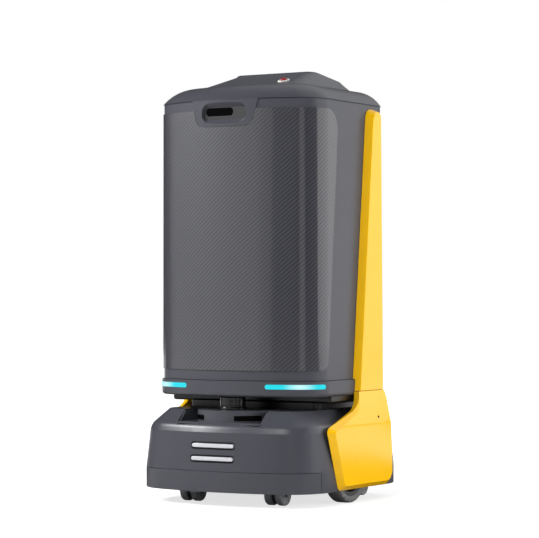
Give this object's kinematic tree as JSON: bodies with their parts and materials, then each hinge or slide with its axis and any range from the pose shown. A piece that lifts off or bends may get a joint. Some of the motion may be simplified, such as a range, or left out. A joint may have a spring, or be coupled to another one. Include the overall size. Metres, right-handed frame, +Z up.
{
  "type": "delivery robot",
  "caption": "Tall indoor delivery robot: enclosed cargo body with a hinged rear door on a low wheeled base, with side fins, light strips, a lidar in the gap under the body and a sloped console.",
  "frame": {"origin": "on the floor, under the middle of the bounding box", "axes": "+Z up, front of the robot towards -Y, +X towards the robot's left side"},
  "size_m": [0.528, 0.54, 1.0544],
  "materials": {
    "shell_grey": "satin moulded",
    "panel_twill": "clear-coated twill",
    "fin_yellow": "semi-gloss",
    "strip_cyan": "frosted, lit",
    "bar_silver": "satin",
    "gloss_black": "gloss",
    "sensor_glass": "dark tinted",
    "lidar_black": "gloss",
    "frame_steel": "powder coat",
    "bin_lining": "satin",
    "door_grey": "satin moulded",
    "handle_black": "satin",
    "battery_case": "textured",
    "control_case": "anodised",
    "contact_brass": "bright",
    "bright_steel": "turned",
    "castor_plate": "zinc plated",
    "castor_plastic": "satin",
    "castor_tread": "matt",
    "tyre_rubber": "matt",
    "hub_metal": "cast",
    "collar_white": "semi-gloss",
    "button_red": "semi-gloss"
  },
  "bodies": {
    "chassis": {"base_front_cover": "shell_grey", "base_rear_cover": "shell_grey", "front_skirt": "shell_grey", "body_ring": "shell_grey", "body_shell": "shell_grey", "top_cap": "shell_grey", "console_housing": "shell_grey", "camera_bib": "shell_grey", "front_panel": "panel_twill", "left_fin_upper": "fin_yellow", "right_fin_upper": "fin_yellow", "left_fin_lower": "fin_yellow", "right_fin_lower": "fin_yellow", "led_strips": "strip_cyan", "light_bars": "bar_silver", "neck_plate": "gloss_black", "neck_collar": "gloss_black", "sensor_pod": "gloss_black", "lamp_tray": "gloss_black", "depth_windows": "sensor_glass", "camera_window": "sensor_glass", "display_glass": "sensor_glass", "lidar_base": "lidar_black", "chassis_plate": "frame_steel", "frame_posts": "frame_steel", "body_floor": "frame_steel", "bin_rails": "frame_steel", "drive_brackets": "frame_steel", "cargo_bin": "bin_lining", "cargo_shelf": "bin_lining", "door_frame": "bin_lining", "battery_pack": "battery_case", "control_box": "control_case", "charging_contacts": "contact_brass", "drive_axles": "bright_steel", "door_pins": "bright_steel", "castor_screws": "bright_steel", "castor_mounts": "castor_plate", "estop_collar": "collar_white"},
    "left_drive_wheel": {"left_drive_tyre": "tyre_rubber", "left_drive_hub": "hub_metal"},
    "right_drive_wheel": {"right_drive_tyre": "tyre_rubber", "right_drive_hub": "hub_metal"},
    "lidar_rotor": {"lidar_head": "lidar_black"},
    "stop_button": {"estop_button": "button_red"},
    "cargo_door": {"rear_door": "door_grey", "door_handle": "handle_black"},
    "front_left_swivel": {"front_left_castor_fork": "castor_plastic", "front_left_castor_axle": "bright_steel"},
    "front_left_rollers": {"front_left_castor_wheels": "castor_tread"},
    "front_right_swivel": {"front_right_castor_fork": "castor_plastic", "front_right_castor_axle": "bright_steel"},
    "front_right_rollers": {"front_right_castor_wheels": "castor_tread"},
    "rear_left_swivel": {"rear_left_castor_fork": "castor_plastic", "rear_left_castor_axle": "bright_steel"},
    "rear_left_rollers": {"rear_left_castor_wheels": "castor_tread"},
    "rear_right_swivel": {"rear_right_castor_fork": "castor_plastic", "rear_right_castor_axle": "bright_steel"},
    "rear_right_rollers": {"rear_right_castor_wheels": "castor_tread"}
  },
  "joints": [
    {"name": "left_drive_spin", "type": "hinge", "parent": "chassis", "child": "left_drive_wheel", "pos_m": [0.22, -0.01, 0.075], "axis": [1, 0, 0], "continuous": true},
    {"name": "right_drive_spin", "type": "hinge", "parent": "chassis", "child": "right_drive_wheel", "pos_m": [-0.22, -0.01, 0.075], "axis": [1, 0, 0], "continuous": true},
    {"name": "front_left_swivel_turn", "type": "hinge", "parent": "chassis", "child": "front_left_swivel", "pos_m": [0.12, -0.181, 0.058], "axis": [0, 0, 1], "continuous": true},
    {"name": "front_left_roll", "type": "hinge", "parent": "front_left_swivel", "child": "front_left_rollers", "pos_m": [0.12, -0.161, 0.025], "axis": [1, 0, 0], "continuous": true},
    {"name": "front_right_swivel_turn", "type": "hinge", "parent": "chassis", "child": "front_right_swivel", "pos_m": [-0.12, -0.181, 0.058], "axis": [0, 0, 1], "continuous": true},
    {"name": "front_right_roll", "type": "hinge", "parent": "front_right_swivel", "child": "front_right_rollers", "pos_m": [-0.12, -0.161, 0.025], "axis": [1, 0, 0], "continuous": true},
    {"name": "rear_left_swivel_turn", "type": "hinge", "parent": "chassis", "child": "rear_left_swivel", "pos_m": [0.142, 0.164, 0.058], "axis": [0, 0, 1], "continuous": true},
    {"name": "rear_left_roll", "type": "hinge", "parent": "rear_left_swivel", "child": "rear_left_rollers", "pos_m": [0.142, 0.184, 0.025], "axis": [1, 0, 0], "continuous": true},
    {"name": "rear_right_swivel_turn", "type": "hinge", "parent": "chassis", "child": "rear_right_swivel", "pos_m": [-0.142, 0.164, 0.058], "axis": [0, 0, 1], "continuous": true},
    {"name": "rear_right_roll", "type": "hinge", "parent": "rear_right_swivel", "child": "rear_right_rollers", "pos_m": [-0.142, 0.184, 0.025], "axis": [1, 0, 0], "continuous": true},
    {"name": "lidar_spin", "type": "hinge", "parent": "chassis", "child": "lidar_rotor", "pos_m": [0, -0.171, 0.24], "axis": [0, 0, 1], "continuous": true},
    {"name": "stop_press", "type": "slide", "parent": "chassis", "child": "stop_button", "axis": [0, 0.2909, -0.9568], "range_m": [0, 0.0035], "stiffness_N_per_m": 800},
    {"name": "door_swing", "type": "hinge", "parent": "chassis", "child": "cargo_door", "pos_m": [-0.155, 0.1895, 0.634], "axis": [0, 0, 1], "range_deg": [0, 95]}
  ]
}
